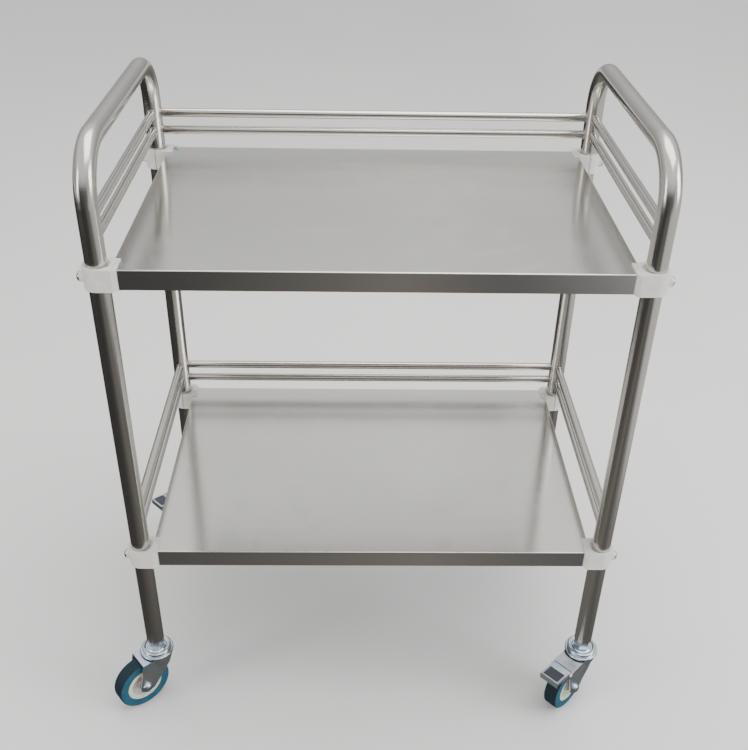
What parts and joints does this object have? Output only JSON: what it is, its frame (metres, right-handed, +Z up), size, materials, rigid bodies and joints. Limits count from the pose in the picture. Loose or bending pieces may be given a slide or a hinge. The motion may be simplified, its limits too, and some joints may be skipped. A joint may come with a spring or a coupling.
{
  "type": "instrument cart",
  "caption": "Two-tier stainless instrument cart with tube handles, guard rails round three sides, plastic corner clamps and swivel casters with foot brakes.",
  "frame": {"origin": "on the floor, midway between the four legs", "axes": "+Z up; +X to the right along the width of the shelves; -Y is the open front, +Y the side with the back rails"},
  "size_m": [0.7247, 0.4726, 0.861],
  "materials": {
    "steel_tube": "satin stainless tube, polished along its length",
    "steel_rail": "bright stainless rail",
    "steel_sheet": "brushed stainless sheet, grain along the width",
    "clamp_nylon": "natural white nylon",
    "bolt_steel": "plain stainless fastener",
    "zinc_steel": "bright zinc plate",
    "zinc_pressing": "bright zinc plated pressing",
    "ball_steel": "polished ball",
    "hub_nylon": "off-white moulded nylon",
    "tread_rubber": "blue-green thermoplastic rubber"
  },
  "bodies": {
    "cart_frame": {"left_frame_tube": "steel_tube", "right_frame_tube": "steel_tube", "upper_left_side_rail_top": "steel_rail", "upper_left_side_rail_bottom": "steel_rail", "upper_right_side_rail_top": "steel_rail", "upper_right_side_rail_bottom": "steel_rail", "upper_back_rail_top": "steel_rail", "upper_back_rail_bottom": "steel_rail", "lower_left_side_rail_top": "steel_rail", "lower_left_side_rail_bottom": "steel_rail", "lower_right_side_rail_top": "steel_rail", "lower_right_side_rail_bottom": "steel_rail", "lower_back_rail_top": "steel_rail", "lower_back_rail_bottom": "steel_rail", "upper_shelf": "steel_sheet", "lower_shelf": "steel_sheet", "upper_front_left_clamp": "clamp_nylon", "upper_front_right_clamp": "clamp_nylon", "upper_rear_left_clamp": "clamp_nylon", "upper_rear_right_clamp": "clamp_nylon", "lower_front_left_clamp": "clamp_nylon", "lower_front_right_clamp": "clamp_nylon", "lower_rear_left_clamp": "clamp_nylon", "lower_rear_right_clamp": "clamp_nylon", "clamp_bolts": "bolt_steel", "clamp_washers": "bolt_steel", "clamp_nuts": "bolt_steel", "leg_inserts": "zinc_steel", "caster_jam_nuts": "zinc_steel", "caster_stems": "zinc_steel", "swivel_cups": "zinc_pressing", "swivel_balls": "ball_steel"},
    "front_left_fork": {"front_left_caster_fork": "zinc_pressing", "front_left_axle_bolt": "zinc_steel", "front_left_axle_nut": "zinc_steel", "front_left_axle_sleeve": "zinc_steel"},
    "front_left_wheel": {"front_left_wheel_hub": "hub_nylon", "front_left_wheel_tread": "tread_rubber"},
    "front_right_fork": {"front_right_caster_fork": "zinc_pressing", "front_right_axle_bolt": "zinc_steel", "front_right_axle_nut": "zinc_steel", "front_right_axle_sleeve": "zinc_steel", "front_right_brake_pin": "zinc_steel"},
    "front_right_wheel": {"front_right_wheel_hub": "hub_nylon", "front_right_wheel_tread": "tread_rubber"},
    "front_right_brake": {"front_right_brake_pedal": "zinc_pressing"},
    "rear_left_fork": {"rear_left_caster_fork": "zinc_pressing", "rear_left_axle_bolt": "zinc_steel", "rear_left_axle_nut": "zinc_steel", "rear_left_axle_sleeve": "zinc_steel", "rear_left_brake_pin": "zinc_steel"},
    "rear_left_wheel": {"rear_left_wheel_hub": "hub_nylon", "rear_left_wheel_tread": "tread_rubber"},
    "rear_left_brake": {"rear_left_brake_pedal": "zinc_pressing"},
    "rear_right_fork": {"rear_right_caster_fork": "zinc_pressing", "rear_right_axle_bolt": "zinc_steel", "rear_right_axle_nut": "zinc_steel", "rear_right_axle_sleeve": "zinc_steel"},
    "rear_right_wheel": {"rear_right_wheel_hub": "hub_nylon", "rear_right_wheel_tread": "tread_rubber"}
  },
  "joints": [
    {"name": "front_left_swivel", "type": "hinge", "parent": "cart_frame", "child": "front_left_fork", "pos_m": [-0.316, -0.19, 0.0896], "axis": [0, 0, 1], "continuous": true},
    {"name": "front_left_wheel_spin", "type": "hinge", "parent": "front_left_fork", "child": "front_left_wheel", "pos_m": [-0.34009, -0.20951, 0.04], "axis": [0.6293, -0.7771, 0], "continuous": true},
    {"name": "front_right_swivel", "type": "hinge", "parent": "cart_frame", "child": "front_right_fork", "pos_m": [0.316, -0.19, 0.0896], "axis": [0, 0, 1], "continuous": true},
    {"name": "front_right_wheel_spin", "type": "hinge", "parent": "front_right_fork", "child": "front_right_wheel", "pos_m": [0.29408, -0.21192, 0.04], "axis": [0.7071, -0.7071, 0], "continuous": true},
    {"name": "front_right_brake_press", "type": "hinge", "parent": "front_right_fork", "child": "front_right_brake", "pos_m": [0.28206, -0.22394, 0.079], "axis": [0.7071, -0.7071, 0], "range_deg": [0, 18]},
    {"name": "rear_left_swivel", "type": "hinge", "parent": "cart_frame", "child": "rear_left_fork", "pos_m": [-0.316, 0.19, 0.0896], "axis": [0, 0, 1], "continuous": true},
    {"name": "rear_left_wheel_spin", "type": "hinge", "parent": "rear_left_fork", "child": "rear_left_wheel", "pos_m": [-0.33792, 0.16808, 0.04], "axis": [0.7071, -0.7071, 0], "continuous": true},
    {"name": "rear_left_brake_press", "type": "hinge", "parent": "rear_left_fork", "child": "rear_left_brake", "pos_m": [-0.34994, 0.15606, 0.079], "axis": [0.7071, -0.7071, 0], "range_deg": [0, 18]},
    {"name": "rear_right_swivel", "type": "hinge", "parent": "cart_frame", "child": "rear_right_fork", "pos_m": [0.316, 0.19, 0.0896], "axis": [0, 0, 1], "continuous": true},
    {"name": "rear_right_wheel_spin", "type": "hinge", "parent": "rear_right_fork", "child": "rear_right_wheel", "pos_m": [0.2926, 0.16966, 0.04], "axis": [0.6561, -0.7547, 0], "continuous": true}
  ]
}
